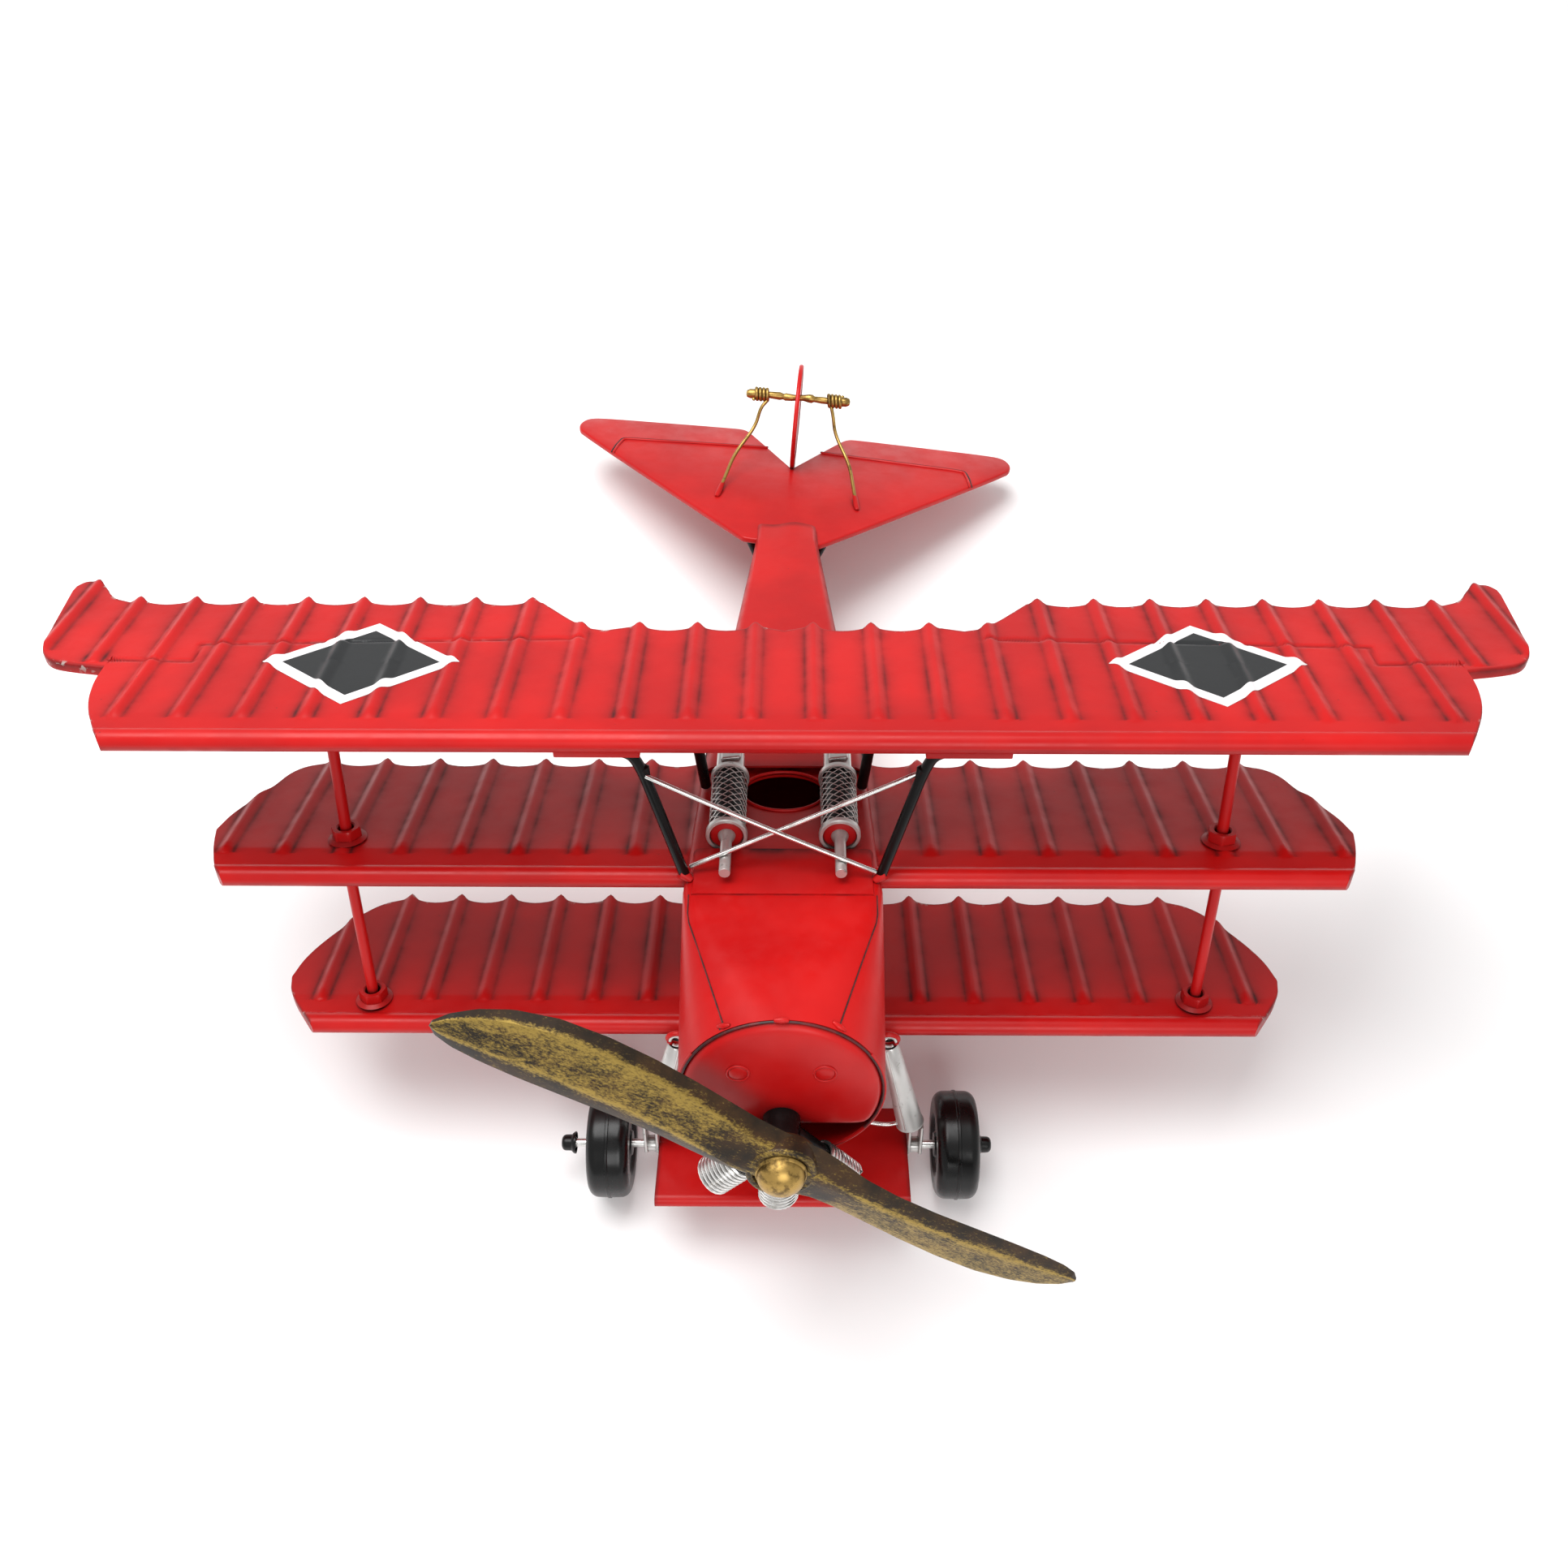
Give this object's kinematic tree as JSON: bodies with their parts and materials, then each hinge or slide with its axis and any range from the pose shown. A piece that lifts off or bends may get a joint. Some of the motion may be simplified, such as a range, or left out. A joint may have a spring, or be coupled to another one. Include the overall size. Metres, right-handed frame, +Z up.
{
  "type": "tinplate triplane ornament",
  "caption": "Tinplate triplane ornament with a free-turning propeller and free-rolling wheels, standing tail-down.",
  "frame": {"origin": "on the floor, under the centre of the whole object's box", "axes": "+X across the span to the viewer's right when looking at the nose, -Y towards the nose, +Z up from the floor"},
  "size_m": [0.402, 0.346, 0.1431],
  "materials": {
    "red_enamel": "semi-gloss enamel with dark antique wash along the seams and worn edges",
    "black_enamel": "satin black paint",
    "silver_paint": "metallic silver paint with dark grime",
    "bright_steel": "bright drawn wire, slightly dulled",
    "brass": "lightly tarnished",
    "antique_blade": "brown-black with rubbed gold highlights",
    "black_tyre": "moulded, dusty",
    "mark_paint": "flat black with a white border"
  },
  "bodies": {
    "root": {"top_wing": "red_enamel", "middle_wing": "red_enamel", "lower_wing": "red_enamel", "fuselage_shell": "red_enamel", "cowl": "red_enamel", "nose_plate": "red_enamel", "firewall": "black_enamel", "nose_deck": "red_enamel", "rear_deck": "red_enamel", "crankcase": "black_enamel", "cylinder_coil_left": "bright_steel", "cylinder_coil_lower": "bright_steel", "cylinder_coil_right": "bright_steel", "upper_strut_left": "red_enamel", "upper_strut_right": "red_enamel", "lower_strut_left": "red_enamel", "lower_strut_right": "red_enamel", "strut_nuts": "red_enamel", "strut_washers": "red_enamel", "cabane_foot_left": "red_enamel", "cabane_foot_right": "red_enamel", "front_cabane_left": "black_enamel", "front_cabane_right": "black_enamel", "rear_cabane_left": "black_enamel", "rear_cabane_right": "black_enamel", "brace_wire_a": "bright_steel", "brace_wire_b": "bright_steel", "gun_jacket_left": "silver_paint", "gun_jacket_right": "silver_paint", "gun_barrel_left": "silver_paint", "gun_barrel_right": "silver_paint", "gun_receiver_left": "silver_paint", "gun_receiver_right": "silver_paint", "stabiliser": "red_enamel", "rudder": "red_enamel", "horn_bar": "brass", "horn_wire_left": "brass", "horn_wire_right": "brass", "tail_brace_left": "black_enamel", "tail_brace_right": "black_enamel", "front_strut_left": "silver_paint", "front_strut_right": "silver_paint", "rear_strut_left": "bright_steel", "rear_strut_right": "bright_steel", "axle_bracket_left": "silver_paint", "axle_bracket_right": "silver_paint", "spreader_wire": "bright_steel", "axle": "bright_steel", "axle_fairing": "red_enamel", "hub_cap_left": "black_tyre", "hub_cap_right": "black_tyre", "tail_skid": "red_enamel", "wing_marks": "mark_paint"},
    "propeller": {"propeller": "antique_blade", "propeller_nut": "brass", "propeller_shaft": "bright_steel", "shaft_collar": "bright_steel"},
    "left_wheel": {"wheel_left": "black_tyre"},
    "right_wheel": {"wheel_right": "black_tyre"}
  },
  "joints": [
    {"name": "propeller_spin", "type": "hinge", "parent": "root", "child": "propeller", "pos_m": [0, -0.15681, 0.08938], "axis": [0, -0.9455, 0.3256], "continuous": true},
    {"name": "left_wheel_spin", "type": "hinge", "parent": "root", "child": "left_wheel", "pos_m": [-0.05, -0.12775, 0.0156], "axis": [1, 0, 0], "continuous": true},
    {"name": "right_wheel_spin", "type": "hinge", "parent": "root", "child": "right_wheel", "pos_m": [0.05, -0.12775, 0.0156], "axis": [1, 0, 0], "continuous": true}
  ]
}
